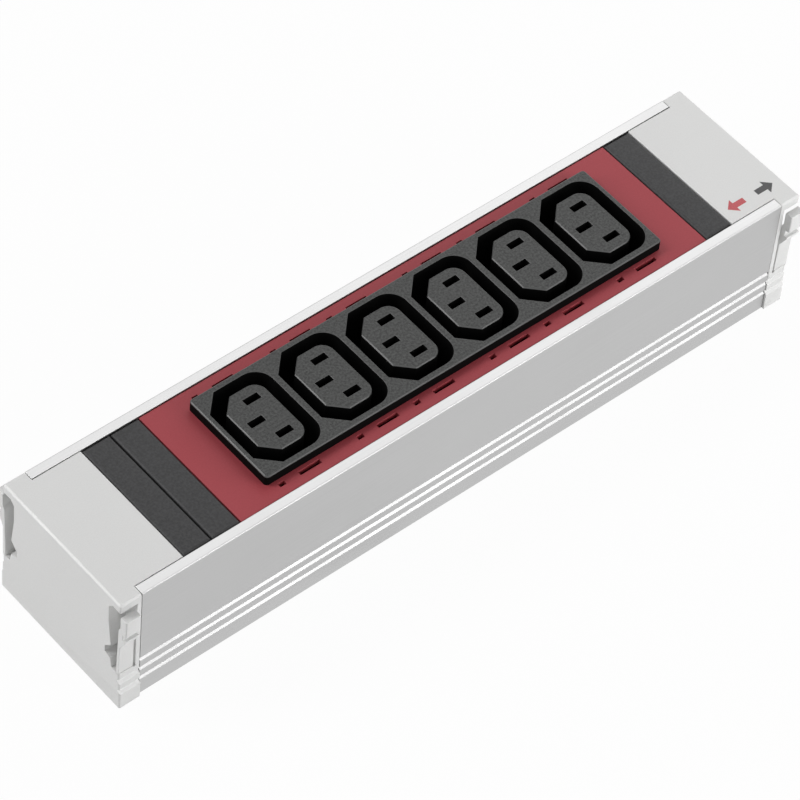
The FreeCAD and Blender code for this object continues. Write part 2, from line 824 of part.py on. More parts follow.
def make_strap():
    """Bent strip that bonds the earth bar to the floor of the profile."""
    body = new_body("earth_strap")
    left = STRAP_END
    right = f"({BLOCK_CENTRE} - {SKIRT_END} - strap_clearance)"
    shape = sketch_on(body, "StrapShape", "XZ", "-strap_width/2")
    add_polygon(
        shape,
        [
            (right, BAR_FOOT),
            (left, BAR_FOOT),
            (left, STRAP_TOP),
            (f"{left} - strap_foot", STRAP_TOP),
            (f"{left} - strap_foot", "floor_thickness"),
            (f"{left} + strap_thickness", "floor_thickness"),
            (f"{left} + strap_thickness", f"{BAR_FOOT} - strap_thickness"),
            (right, f"{BAR_FOOT} - strap_thickness"),
        ],
    )
    pad(body, "Strap", shape, "strap_width")
    hole = sketch_on(body, "StrapHoleCircle", "XY", STRAP_TOP)
    for place in EARTH_SCREW:
        add_circle(hole, *place, "screw_shank + 2*screw_fit")
    pocket(body, "StrapHole", hole, "strap_thickness")
    return body


def hexagon(across, up, flats):
    """Corners of a hexagon whose flats are the distance apart."""
    reach = f"{flats}/sqrt(3)"
    half = [
        (f"{across} + {reach}", up),
        (f"{across} + {reach}/2", f"{up} + {flats}/2"),
        (f"{across} - {reach}/2", f"{up} + {flats}/2"),
        (f"{across} - {reach}", up),
    ]
    return half + [(x, f"{up} - {flats}/2") for x, _ in half[2:0:-1]]


def make_hexagon_screws(label, places, seat):
    """Screws driven from inside the profile, with their heads on the seat."""
    body = new_body(label)
    heads = sketch_on(body, "HeadHexagons", "XY", seat)
    shanks = sketch_on(body, "ShankCircles", "XY", seat)
    for place in places:
        add_polygon(heads, hexagon(*place, "screw_head"))
        add_circle(shanks, *place, "screw_shank")
    pad(body, "Heads", heads, HEAD_HEIGHT)
    pad(body, "Shanks", shanks, f"{seat} - plug_recess", reverse=True)
    return body


def make_cap_screws():
    """Countersunk screws that hold the end caps from below."""
    body = new_body("cap_screws")
    heads = sketch_on(body, "HeadCircles", "XY")
    shanks = sketch_on(body, "ShankCircles", "XY", HEAD_HEIGHT)
    for place in screw_places():
        add_circle(heads, *place, "screw_head")
        add_circle(shanks, *place, "screw_shank")
    cones = pad(body, "HeadCones", heads, HEAD_HEIGHT)
    cones.TaperAngle = -COUNTERSINK_SLOPE
    doc.recompute()
    pad(body, "Shanks", shanks, f"screw_bite - {HEAD_HEIGHT}")
    return body


def make_end_cap():
    """Moulded right end cap: label plate, end wall, spigots and two latch pockets."""
    body = new_body("end_cap_right")
    section = sketch_on(body, "CapSection", "YZ", CAP_START)
    half = vee_corners(CAP_VEE_GROOVES, "cap_step") + [(SIDE, "body_height")]
    add_polygon(section, both_sides(half))
    pad(body, "CapEnd", section, "cap_length - cap_seam")

    end = value(END_FACE)
    height = value("body_height")
    side = value(SIDE)
    sides = [value(side_below(i, "cap_step")) for i in range(CAP_VEE_GROOVES + 1)]

    def top_edge(edge):
        middle = edge.CenterOfMass
        return level(edge, height) and (near(middle.x, end) or near(abs(middle.y), side))

    def end_corner(edge):
        middle = edge.CenterOfMass
        on_side = any(near(abs(middle.y), across) for across in sides)
        return runs_along(edge, ALONG_Z) and near(middle.x, end) and on_side

    soften(body, "Fillet", "CapCorners", "cap_corner", end_corner)
    soften(body, "Chamfer", "CapTopBevel", "cap_bevel", top_edge)

    label = sketch_on(body, "LabelSection", "YZ", CAP_START)
    add_polygon(label, both_sides(slide_half("body_height", "label_skin")))
    pad(body, "LabelPlate", label, "label_reach - cap_length + cap_seam", reverse=True)
    inner = value(LABEL_EDGE)
    soften(
        body,
        "Fillet",
        "LabelRound",
        "label_round",
        lambda edge: level(edge, height) and near(edge.CenterOfMass.x, inner),
    )

    spigots = sketch_on(body, "SpigotSections", "YZ", CAP_START)
    cheek_side = f"({SLIDE_SIDE} - cap_clearance)"
    for sign in (-1, 1):
        add_rectangle(
            spigots,
            f"{sign}*{cheek_side}",
            "floor_thickness + cap_clearance",
            f"{sign}*({cheek_side} - cheek_thickness)",
            f"{LEDGE_FOOT} - cap_clearance",
        )
        add_rectangle(
            spigots,
            f"{sign}*({BOSS_Y} - boss_width/2)",
            "floor_thickness",
            f"{sign}*({BOSS_Y} + boss_width/2)",
            "floor_thickness + boss_height",
        )
    pad(body, "Spigots", spigots, "cheek_length + cap_seam", reverse=True)

    hollow = sketch_on(body, "HollowOutline", "YZ", CAP_START)
    hollow_side = f"({POCKET_SIDE} - tool_depth - cap_wall)"
    add_rectangle(
        hollow,
        f"-{hollow_side}",
        "floor_thickness + boss_height + cap_wall",
        hollow_side,
        "body_height - label_skin",
    )
    pocket(body, "Hollow", hollow, "cap_length - cap_seam - cap_wall", reverse=True)

    pilots = sketch_on(body, "PilotCircles", "XY", "floor_thickness")
    for sign in (-1, 1):
        add_circle(pilots, BOSS_X, f"{sign}*{BOSS_Y}", "screw_shank + 2*screw_fit")
    pocket(body, "Pilots", pilots, "boss_height", reverse=True)

    pockets = sketch_on(body, "LatchPocketOutlines", "YZ", END_FACE)
    sockets = sketch_on(body, "PivotCircles", "YZ", END_FACE)
    outside = f"({SIDE} + cap_length)"
    tool_low = f"({LATCH_Z} + tool_foot)"
    tool_top = f"({tool_low} + tool_kick + tool_flat)"
    tool_side = f"({POCKET_SIDE} - tool_depth)"
    taper = f"({POCKET_SIDE} + pocket_taper)"
    corners = [
        (outside, LATCH_Z),
        (outside, EAVE),
        (f"{POCKET_SIDE} + pocket_bevel", EAVE),
        (POCKET_SIDE, f"{EAVE} - pocket_bevel"),
        (POCKET_SIDE, THUMB_FOOT),
        (taper, f"{tool_top} + tool_slope"),
        (tool_side, tool_top),
        (tool_side, f"{tool_low} + tool_kick"),
        (taper, tool_low),
        (f"{POCKET_SIDE} + pocket_root", LATCH_Z),
    ]
    for sign in (-1, 1):
        add_polygon(pockets, [(f"{sign}*({across})", up) for across, up in corners])
        add_circle(
            sockets, f"{sign}*{LATCH_Y}", LATCH_Z, "latch_thickness + 2*pivot_clearance"
        )
    pocket(body, "LatchPockets", pockets, "pocket_reach")
    pocket(body, "PivotSockets", sockets, "pocket_reach")

    for name, sign in (("FrontSlitEnd", 1), ("BackSlitEnd", -1)):
        hole = sketch_on(body, name + "Circle", "XZ", f"{sign}*{outside}")
        add_circle(hole, f"{END_FACE} - pocket_reach + latch_slit/2", LATCH_Z, "slit_end")
        pocket(body, name, hole, f"{outside} - {POCKET_SIDE} - pocket_root", reverse=sign < 0)
    return body


def make_latch():
    """Press-in latch of the far right corner: tongue, hook and thumb block."""
    body = new_body("latch_right_back")
    start = f"({END_FACE} - pocket_reach + latch_slit)"
    width = "pocket_reach - latch_slit"
    half = "latch_thickness/2"
    tongue_top = f"({THUMB_FOOT} + latch_lean)"
    shape = sketch_on(body, "LatchShape", "YZ", start)
    add_polygon(
        shape,
        [
            (f"{LATCH_Y} - {half}", LATCH_Z),
            (f"{LATCH_Y} + {half}", LATCH_Z),
            (SIDE, f"{HOOK_TOP} - hook_lip - hook_slope"),
            (f"{SIDE} + hook_reach", f"{HOOK_TOP} - hook_lip"),
            (f"{SIDE} + hook_reach", HOOK_TOP),
            (f"{SIDE} + neck_reach", HOOK_TOP),
            (f"{SIDE} + neck_reach", THUMB_FOOT),
            (f"{SIDE} + thumb_reach", THUMB_FOOT),
            (f"{SIDE} + thumb_reach", THUMB_TOP),
            (SIDE, THUMB_TOP),
            (SIDE, f"{tongue_top} + latch_thickness"),
            (f"{LATCH_Y} - {half} + latch_lean", tongue_top),
        ],
    )
    pad(body, "Tongue", shape, width)
    out = value(f"{SIDE} + thumb_reach")
    soften(
        body,
        "Fillet",
        "ThumbRounds",
        "thumb_round",
        lambda edge: runs_along(edge, ALONG_Z) and near(edge.CenterOfMass.y, out),
    )
    pivot = sketch_on(body, "PivotCircle", "YZ", start)
    add_circle(pivot, LATCH_Y, LATCH_Z, "latch_thickness")
    pad(body, "Pivot", pivot, width)
    return body


nodes = [make_profile()]
cap = make_end_cap()
nodes.append(cap)
nodes.append(mirror_copy("end_cap_left", cap, ALONG_X))
latch = make_latch()
front_latch = mirror_copy("latch_right_front", latch, ALONG_Y)
nodes.append(latch)
nodes.append(front_latch)
nodes.append(mirror_copy("latch_left_back", latch, ALONG_X))
nodes.append(mirror_copy("latch_left_front", front_latch, ALONG_X))
nodes.append(make_socket_plate())
for strip in range(LEFT_STRIPS):
    nodes.append(make_strip(f"blank_strip_left_{strip + 1}", f"-{LABEL_EDGE} + {strip}*strip_length"))
for strip in range(RIGHT_STRIPS):
    nodes.append(
        make_strip(f"blank_strip_right_{strip + 1}", f"{LABEL_EDGE} - {strip + 1}*strip_length")
    )
nodes.append(make_outlet_frame())
for outlet in range(OUTLETS):
    nodes.append(make_core(outlet))
nodes.append(make_base())
first_pin = f"({outlet_x(0)} + {PIN_AXIS} - {CHAMBER_LENGTH}/2)"
for pin, pole in enumerate(("line", "neutral", "earth")):
    nodes.append(make_contacts(pole + "_contacts", pin))
    nodes.append(make_bar(pole + "_bar", pin, STRAP_END if pole == "earth" else first_pin))
    nodes.append(make_riser(pole + "_riser", pin))
nodes.append(make_plug())
nodes.append(make_blades())
nodes.append(make_strap())
nodes.append(make_cap_screws())
nodes.append(make_hexagon_screws("plug_screws", PLUG_SCREWS, FLANGE_TOP))
nodes.append(make_hexagon_screws("earth_screw", EARTH_SCREW, STRAP_TOP))
doc.recompute()

for item in doc.Objects:
    if "Invalid" in item.State or "Error" in item.State:
        raise RuntimeError(f"{item.Label} did not build")
os.makedirs("parts", exist_ok=True)
for node in nodes:
    if node.Shape.isNull() or not node.Shape.isValid():
        raise RuntimeError(f"{node.Label} has no sound shape")
    node.Shape.exportStep(f"parts/{node.Label}.step")
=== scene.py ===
import functools
import math

import bmesh
import bpy
from bpy.props import FloatProperty, FloatVectorProperty, PointerProperty
from mathutils import Matrix, Vector


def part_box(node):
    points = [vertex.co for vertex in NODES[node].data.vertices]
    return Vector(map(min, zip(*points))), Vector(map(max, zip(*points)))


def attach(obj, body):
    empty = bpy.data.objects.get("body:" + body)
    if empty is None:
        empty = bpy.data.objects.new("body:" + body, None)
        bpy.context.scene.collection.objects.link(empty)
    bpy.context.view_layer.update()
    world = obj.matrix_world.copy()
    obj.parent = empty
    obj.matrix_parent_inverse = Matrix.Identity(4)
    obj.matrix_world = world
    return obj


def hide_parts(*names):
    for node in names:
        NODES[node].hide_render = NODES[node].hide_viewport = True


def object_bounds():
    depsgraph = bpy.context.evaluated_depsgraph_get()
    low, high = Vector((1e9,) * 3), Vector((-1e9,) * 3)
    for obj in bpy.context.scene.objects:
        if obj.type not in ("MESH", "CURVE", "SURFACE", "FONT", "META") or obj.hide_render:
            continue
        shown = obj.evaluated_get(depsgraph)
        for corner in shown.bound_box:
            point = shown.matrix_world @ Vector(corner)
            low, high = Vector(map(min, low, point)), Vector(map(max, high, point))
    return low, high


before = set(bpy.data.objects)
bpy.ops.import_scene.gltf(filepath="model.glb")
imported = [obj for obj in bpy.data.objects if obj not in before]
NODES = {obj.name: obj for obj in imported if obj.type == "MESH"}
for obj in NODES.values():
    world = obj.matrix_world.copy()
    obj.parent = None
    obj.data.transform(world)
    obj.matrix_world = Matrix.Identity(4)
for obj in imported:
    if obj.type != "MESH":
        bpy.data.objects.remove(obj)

bl_info = {
    "name": "Rack outlet module look",
    "version": (1, 0, 0),
    "blender": (4, 5, 0),
    "location": "View3D > Sidebar > Module",
    "description": "Gives the packed outlet module its rounded edges, finishes, light and camera",
    "category": "Object",
}

MM = 0.001
CAD_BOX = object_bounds()
HOUSING = "housing"

CAPS = ("end_cap_left", "end_cap_right")
LATCHES = sorted(name for name in NODES if name.startswith("latch_"))
STRIPS = sorted(name for name in NODES if name.startswith("blank_strip_"))
CORES = sorted(name for name in NODES if name.startswith("socket_core_"))
BRASS_NODES = sorted(
    name for name in NODES if name.endswith(("_contacts", "_bar", "_riser", "_strap", "_blades"))
)
STEEL_NODES = ("plug_screws", "earth_screw")
PLASTIC_NODES = ("outlet_base", "rear_plug_body")

# Points this close are one point, and faces this near to one plane are one face
WELD_DISTANCE = 0.002 * MM
FLAT_ANGLE = math.radians(0.5)
# Edges of the caps that turn less than this belong to a bevel, and short ones to an arc; both stay crisp
BEVEL_ANGLE = math.radians(50)
SHORT_EDGE = 0.7 * MM
# Edges this near to the height of a seam stay unrounded
SEAM_REACH = 0.15 * MM
# The round feet of the latches have this radius, and swell this many times to close their clearance
FOOT_RADIUS = 0.55 * MM
FOOT_SWELL = 1.09
# Edges turn sharp above the first angle, or above the second between two faces this wide
SHARP_ANGLE = math.radians(32)
CREASE_ANGLE = math.radians(3)
WIDE_FACE = 0.75 * MM
# Outlet faces that lean further than these slopes are polished edges darkened with painted shade, or walls
# painted near black as shade, with these slots
SHADED_EDGE_SLOPE = 0.97
SHADE_SLOPE = 0.3
SHADED_EDGE_SLOT = 1
SHADE_SLOT = 2
# Share of the floor's look that is plain white; the rest is a matt grey that takes the object's shadow
FLOOR_GLOW = 0.96
FLOOR_GREY = 0.85


def linear(code):
    """The linear colour of an sRGB hex value."""
    parts = [int(code[i:i + 2], 16) / 255 for i in (0, 2, 4)]
    return tuple(p / 12.92 if p <= 0.04045 else ((p + 0.055) / 1.055) ** 2.4 for p in parts)


def opaque(colour):
    """A colour with full alpha, as node sockets take it."""
    return (*colour, 1.0)


def grey(level):
    return opaque((level, level, level))


def shaded(colour, share):
    """A colour made darker or lighter, up to full white."""
    return tuple(min(1.0, part * share) for part in colour)


def colour_prop(name, description, code):
    return FloatVectorProperty(
        name=name, description=description, subtype="COLOR", size=3, min=0.0, max=1.0,
        default=linear(code),
    )


def length_prop(name, description, millimetres):
    return FloatProperty(
        name=name, description=description, subtype="DISTANCE", unit="LENGTH", min=0.0,
        precision=5, default=millimetres * MM,
    )


def strength_prop(name, description, strength):
    return FloatProperty(name=name, description=description, min=0.0, default=strength)


class FinishSettings(bpy.types.PropertyGroup):
    """Colours of the finishes."""

    aluminium: colour_prop("Aluminium", "Silver anodised housing", "C4C4C4")
    cap_grey: colour_prop("Cap grey", "Light grey end caps and latches", "DFDFDE")
    plate_red: colour_prop("Plate red", "Plate under the outlet block", "A3434A")
    strip_grey: colour_prop("Strip grey", "Blank filler strips", "2B2B2C")
    block_grey: colour_prop("Block grey", "Outlet block and its cores", "313231")
    # Edge black is partly painted shade: a darker copy of the block's black for its sloping faces
    shaded_edge_black: colour_prop("Edge black", "Polished edges of the outlet block", "1B1C1B")
    # Recess black is painted shade: a near-black copy of the block's black for its upright walls
    recess_shade_black: colour_prop("Recess black", "Walls of the outlet block, its wells and slots", "060606")
    brass: colour_prop("Brass", "Contacts, bars and blades", "B89B58")
    zinc: colour_prop("Zinc", "Plated screws", "B9BBBD")
    arrow_black: colour_prop("Arrow black", "Printed arrow to the end", "4A4A4B")
    arrow_red: colour_prop("Arrow red", "Printed arrow to the outlets", "C25A5F")


class DetailSettings(bpy.types.PropertyGroup):
    """Sizes of the fine detail."""

    metal_edge: length_prop("Metal edge", "Broken edge of the extruded housing", 0.12)
    moulded_edge: length_prop("Moulded edge", "Rounding of moulded edges", 0.18)
    arrow_length: length_prop("Arrow length", "From tail to tip of a printed arrow", 6.4)
    arrow_head: length_prop("Arrow head", "Length of the head of a printed arrow", 2.75)
    arrow_width: length_prop("Arrow width", "Width of the head of a printed arrow", 5.1)
    arrow_shaft: length_prop("Arrow shaft", "Width of the shaft of a printed arrow", 1.95)
    screw_head: length_prop("Screw head", "Diameter of the countersunk heads", 5.6)
    screw_shank: length_prop("Screw shank", "Diameter of the screws", 2.9)
    screw_drive: length_prop("Screw drive", "Length of the arms of the cross drive", 3.2)
    screw_slot: length_prop("Screw slot", "Width of the arms of the cross drive", 0.7)


class StageSettings(bpy.types.PropertyGroup):
    """Camera and lights."""

    lens: FloatProperty(name="Lens", description="Focal length in millimetres", default=197.49)
    azimuth: FloatProperty(
        name="Azimuth", description="Direction of the camera", subtype="ANGLE",
        default=math.radians(-44.723),
    )
    elevation: FloatProperty(
        name="Elevation", description="Height of the camera above the horizon", subtype="ANGLE",
        default=math.radians(50.111),
    )
    roll: FloatProperty(
        name="Roll", description="Lean of the camera", subtype="ANGLE", default=math.radians(6.176)
    )
    distance: length_prop("Distance", "From the camera to the rims", 1206.76)
    slide_right: length_prop("Slide right", "The object's place right of the view axis", 4.340)
    slide_up: length_prop("Slide up", "The object's place above the view axis", 18.109)
    sky: strength_prop("Sky", "Soft light from all round", 0.175)
    back_light: strength_prop("Back light", "Softbox behind, in watts", 1.95)
    front_light: strength_prop("Front light", "Softbox in front, in watts", 2.75)
    side_light: strength_prop("Side light", "Strip softbox at the left, in watts", 8.4)
    fill_light: strength_prop("Fill light", "Low softbox at the right, in watts", 4.0)
    left_light: strength_prop("Left light", "Softbox at the front left, in watts", 1.2)
    floor_size: length_prop("Floor size", "Side of the square floor", 6000.0)


class ModuleSettings(bpy.types.PropertyGroup):
    """All settings of the module."""

    finish: PointerProperty(type=FinishSettings)
    detail: PointerProperty(type=DetailSettings)
    stage: PointerProperty(type=StageSettings)


def settings():
    return bpy.context.scene.outlet_module


def node(tree, kind, inputs=None, **options):
    """Adds a node, sets its options and fills or links its inputs."""
    made = tree.nodes.new(kind)
    for key, value in options.items():
        setattr(made, key, value)
    for key, value in (inputs or {}).items():
        if isinstance(value, bpy.types.NodeSocket):
            tree.links.new(value, made.inputs[key])
        else:
            made.inputs[key].default_value = value
    return made


def new_material(name):
    """An empty material with its tree, its shader and its output."""
    material = bpy.data.materials.new(name)
    material.use_nodes = True
    tree = material.node_tree
    tree.nodes.clear()
    shader = node(tree, "ShaderNodeBsdfPrincipled")
    node(tree, "ShaderNodeOutputMaterial", {"Surface": shader.outputs["BSDF"]})
    return material, tree, shader


def noise(tree, place, size, detail, roughness=0.5):
    """The value of a noise texture whose clouds have a size in metres."""
    return node(
        tree, "ShaderNodeTexNoise",
        {"Vector": place, "Scale": 1 / size, "Detail": detail, "Roughness": roughness},
    ).outputs["Fac"]


def two_tones(tree, value, start, dark, end, light):
    """A colour that runs from a dark tone to a light one between two values of a texture."""
    ramp = node(tree, "ShaderNodeValToRGB", {"Fac": value})
    first, last = ramp.color_ramp.elements
    first.position = start
    first.color = opaque(dark)
    last.position = end
    last.color = opaque(light)
    return ramp.outputs["Color"]


def surface(tree, shader, gloss, height, depth):
    """Gives a shader its roughness, and bumps of a depth in metres from a texture's value."""
    bump = node(
        tree, "ShaderNodeBump", {"Height": height, "Distance": depth, "Strength": 1.0}
    ).outputs["Normal"]
    tree.links.new(gloss, shader.inputs["Roughness"])
    tree.links.new(bump, shader.inputs["Normal"])


@functools.cache
def moulded_plastic(name, colour, grain, depth, roughness, fleck, shine):
    """Injection moulded plastic with a spark eroded grain of the given size and depth."""
    cloud_size = 14 * MM
    gloss_spread = 0.05
    fleck_start = 0.36
    fleck_end = 0.64
    material, tree, shader = new_material(name)
    place = node(tree, "ShaderNodeTexCoord").outputs["Object"]
    fine = noise(tree, place, grain, detail=3.0, roughness=0.6)
    cloud = noise(tree, place, cloud_size, detail=2.0)
    tint = two_tones(
        tree, fine, fleck_start, shaded(colour, 1 - fleck), fleck_end, shaded(colour, 1 + fleck)
    )
    gloss = node(
        tree, "ShaderNodeMapRange",
        {"Value": cloud, "To Min": roughness - gloss_spread, "To Max": roughness + gloss_spread},
    ).outputs["Result"]
    shader.inputs["Specular IOR Level"].default_value = shine
    tree.links.new(tint, shader.inputs["Base Color"])
    surface(tree, shader, gloss, fine, depth)
    return material


@functools.cache
def anodised_aluminium(colour):
    """Silver anodised extrusion: a satin metal with die lines along its length."""
    # Real die lines lie under 0.1 mm apart; these are drawn coarser so that they show
    line_spacing = 0.4 * MM
    line_length = 90 * MM
    line_shade = 0.94
    etch_size = 0.3 * MM
    etch_depth = 0.004 * MM
    cloud_size = 25 * MM
    material, tree, shader = new_material("satin_anodised_aluminium")
    place = node(tree, "ShaderNodeTexCoord").outputs["Object"]
    drawn = node(
        tree, "ShaderNodeMapping",
        {"Vector": place, "Scale": (1 / line_length, 1 / line_spacing, 1 / line_spacing)},
    ).outputs["Vector"]
    lines = noise(tree, drawn, 1.0, detail=2.0, roughness=0.6)
    etch = noise(tree, place, etch_size, detail=2.0)
    cloud = noise(tree, place, cloud_size, detail=2.0)
    tint = two_tones(tree, lines, 0.25, shaded(colour, line_shade), 0.75, colour)
    gloss = node(
        tree, "ShaderNodeMapRange",
        {"Value": cloud, "From Min": 0.3, "From Max": 0.7, "To Min": 0.40, "To Max": 0.48},
    ).outputs["Result"]
    rough = node(
        tree, "ShaderNodeMath", {0: lines, 1: etch}, operation="ADD"
    ).outputs["Value"]
    shader.inputs["Metallic"].default_value = 1.0
    tree.links.new(tint, shader.inputs["Base Color"])
    surface(tree, shader, gloss, rough, etch_depth)
    return material


@functools.cache
def plain_metal(name, colour, roughness, grain):
    """Stamped or plated metal with faint rolling marks."""
    gloss_spread = 0.06
    mark_depth = 0.004 * MM
    material, tree, shader = new_material(name)
    place = node(tree, "ShaderNodeTexCoord").outputs["Object"]
    marks = noise(tree, place, grain, detail=3.0)
    gloss = node(
        tree, "ShaderNodeMapRange",
        {"Value": marks, "From Min": 0.3, "From Max": 0.7, "To Min": roughness - gloss_spread,
         "To Max": roughness + gloss_spread},
    ).outputs["Result"]
    shader.inputs["Base Color"].default_value = opaque(colour)
    shader.inputs["Metallic"].default_value = 1.0
    surface(tree, shader, gloss, marks, mark_depth)
    return material


@functools.cache
def printing_ink(name, colour):
    """Screen printed ink: flat colour with a slightly broken film."""
    patch_size = 0.35 * MM
    thick_shade = 0.85
    thin_shade = 1.1
    material, tree, shader = new_material(name)
    place = node(tree, "ShaderNodeTexCoord").outputs["Object"]
    film = noise(tree, place, patch_size, detail=2.0)
    tint = two_tones(tree, film, 0.3, shaded(colour, thick_shade), 0.7, shaded(colour, thin_shade))
    shader.inputs["Roughness"].default_value = 0.55
    tree.links.new(tint, shader.inputs["Base Color"])
    return material


def cap_plastic():
    # Light grey ABS from a finely eroded tool: even and satin, with almost no sparkle
    return moulded_plastic(
        "moulded_light_grey_abs", tuple(settings().finish.cap_grey), grain=0.35 * MM, depth=0.006 * MM,
        roughness=0.3, fleck=0.02, shine=0.75,
    )


def plate_plastic():
    # Red polycarbonate from a smooth tool: satin, so it shows soft clouds of light
    return moulded_plastic(
        "moulded_red_polycarbonate", tuple(settings().finish.plate_red), grain=0.5 * MM, depth=0.004 * MM,
        roughness=0.5, fleck=0.04, shine=0.3,
    )


def strip_plastic():
    # Dark grey ABS from a grained tool: matt, with a fine leathery speckle
    return moulded_plastic(
        "grained_dark_grey_abs", tuple(settings().finish.strip_grey), grain=0.7 * MM, depth=0.07 * MM,
        roughness=0.5, fleck=0.4, shine=0.38,
    )


def block_plastic():
    # Black polyamide with glass fibre: a coarse grain whose tips catch the light
    return moulded_plastic(
        "grained_black_polyamide", tuple(settings().finish.block_grey), grain=0.7 * MM, depth=0.13 * MM,
        roughness=0.45, fleck=0.75, shine=0.42,
    )


def shaded_edge_plastic():
    # The same polyamide where the tool is polished, with thin glints along the edges; its darker colour is
    # painted shade on the sloping faces
    return moulded_plastic(
        "polished_black_polyamide", tuple(settings().finish.shaded_edge_black), grain=0.5 * MM, depth=0.004 * MM,
        roughness=0.42, fleck=0.1, shine=0.9,
    )


def recess_shade_plastic():
    # The same polyamide on upright walls, painted near black and dull as the shade that hardly any light
    # reaches there
    return moulded_plastic(
        "smooth_black_polyamide", tuple(settings().finish.recess_shade_black), grain=0.5 * MM, depth=0.002 * MM,
        roughness=0.8, fleck=0.1, shine=0.06,
    )


def contact_brass():
    # Stamped brass strip, dulled by handling
    return plain_metal("stamped_brass", tuple(settings().finish.brass), roughness=0.36, grain=0.4 * MM)


def screw_steel():
    # Zinc plated steel: bluish silver with a soft shine
    return plain_metal("bright_zinc_plate", tuple(settings().finish.zinc), roughness=0.3, grain=0.3 * MM)


def as_object(name, mesh):
    made = bpy.data.objects.new(name, mesh)
    bpy.context.scene.collection.objects.link(made)
    return made


def is_sharp(edge):
    """True for an edge that should show: a steep one, or a slight one between two flats."""
    if len(edge.link_faces) != 2:
        return True
    angle = edge.calc_face_angle()
    width = min(face.calc_area() for face in edge.link_faces) / edge.calc_length()
    return angle > SHARP_ANGLE or (angle > CREASE_ANGLE and width > WIDE_FACE)


def welded_copy(cad_node, seam, steep, shortest):
    """A welded copy of a CAD node whose steep, long edges are marked for rounding, except along a seam."""
    work = bmesh.new()
    work.from_mesh(NODES[cad_node].data)
    bmesh.ops.remove_doubles(work, verts=work.verts, dist=WELD_DISTANCE)
    bmesh.ops.dissolve_limit(
        work, angle_limit=FLAT_ANGLE, use_dissolve_boundaries=False, verts=work.verts, edges=work.edges
    )
    for face in work.faces:
        face.smooth = True
    weight = work.edges.layers.float.new("bevel_weight_edge")
    for edge in work.edges:
        edge.smooth = not is_sharp(edge)
        on_seam = all(abs(corner.co.z - seam) < SEAM_REACH for corner in edge.verts)
        is_long = edge.calc_length() > shortest
        edge[weight] = float(edge.calc_face_angle(0.0) > steep and is_long and not on_seam)
    mesh = bpy.data.meshes.new(cad_node + "_copy")
    work.to_mesh(mesh)
    work.free()
    mesh.materials.clear()
    return as_object(cad_node + "_copy", mesh)


def baked(source, name):
    """The evaluated shape of an object as a plain mesh object, in the object's place."""
    bpy.context.view_layer.update()
    graph = bpy.context.evaluated_depsgraph_get()
    mesh = bpy.data.meshes.new_from_object(source.evaluated_get(graph))
    mesh.name = name
    bpy.data.objects.remove(source)
    return as_object(name, mesh)


def rounded_copy(cad_node, name, edge, seam=math.inf, steep=SHARP_ANGLE, shortest=0.0):
    """A copy of a CAD node with its steep edges rounded off, except short ones and those along a seam."""
    copy = welded_copy(cad_node, seam, steep, shortest)
    bevel = copy.modifiers.new("Edges", "BEVEL")
    bevel.width = edge
    bevel.segments = 2
    bevel.limit_method = "WEIGHT"
    bevel.use_clamp_overlap = False
    bevel.harden_normals = True
    return baked(copy, name)


def latch_foot():
    """The height of the seam between the latches and the caps, which is that of their hinges."""
    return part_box(LATCHES[0])[0].z + FOOT_RADIUS


def swell_foot(mesh):
    """Makes the round foot of a latch a little thicker about its own axis."""
    height = latch_foot()
    foot = [corner.co for corner in mesh.vertices if corner.co.z < height + WELD_DISTANCE]
    across = [place.y for place in foot]
    middle = (min(across) + max(across)) / 2
    for place in foot:
        place.y = middle + (place.y - middle) * FOOT_SWELL
        place.z = height + (place.z - height) * FOOT_SWELL


def place_piece(piece, body, slot, *cad_nodes):
    """Lets a piece ride on its body and stand for its CAD nodes."""
    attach(piece, body)
    if cad_nodes:
        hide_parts(*cad_nodes)


def dress(cad_node, material):
    """Gives a CAD node that keeps its own mesh a finish."""
    mesh = NODES[cad_node].data
    mesh.materials.clear()
    mesh.materials.append(material)


@functools.cache
def parts_on_points_tree():
    """Geometry nodes that set one part on every point; steeper faces take the second and third finish,
    which may carry painted shade.
    """
    tree = bpy.data.node_groups.new("Parts on points", "GeometryNodeTree")
    for name, kind in (
        ("Places", "NodeSocketGeometry"), ("Part", "NodeSocketObject"),
        ("Finish", "NodeSocketMaterial"), ("Edge finish", "NodeSocketMaterial"),
        ("Edge slope", "NodeSocketFloat"), ("Recess finish", "NodeSocketMaterial"),
        ("Recess slope", "NodeSocketFloat"),
    ):
        tree.interface.new_socket(name, in_out="INPUT", socket_type=kind)
    tree.interface.new_socket("Parts", in_out="OUTPUT", socket_type="NodeSocketGeometry")
    given = node(tree, "NodeGroupInput").outputs
    part = node(tree, "GeometryNodeObjectInfo", {"Object": given["Part"]})
    copies = node(
        tree, "GeometryNodeInstanceOnPoints",
        {"Points": given["Places"], "Instance": part.outputs["Geometry"]},
    )
    real = node(tree, "GeometryNodeRealizeInstances", {"Geometry": copies.outputs["Instances"]})
    upward = node(
        tree, "ShaderNodeSeparateXYZ", {"Vector": node(tree, "GeometryNodeInputNormal").outputs["Normal"]}
    ).outputs["Z"]
    shape = node(
        tree, "GeometryNodeSetMaterial",
        {"Geometry": real.outputs["Geometry"], "Material": given["Finish"]},
    ).outputs["Geometry"]
    for kind in ("Edge", "Recess"):
        steep = node(
            tree, "FunctionNodeCompare", {"A": upward, "B": given[kind + " slope"]}, operation="LESS_THAN"
        ).outputs["Result"]
        shape = node(
            tree, "GeometryNodeSetMaterial",
            {"Geometry": shape, "Selection": steep, "Material": given[kind + " finish"]},
        ).outputs["Geometry"]
    node(tree, "NodeGroupOutput", {"Parts": shape})
    return tree


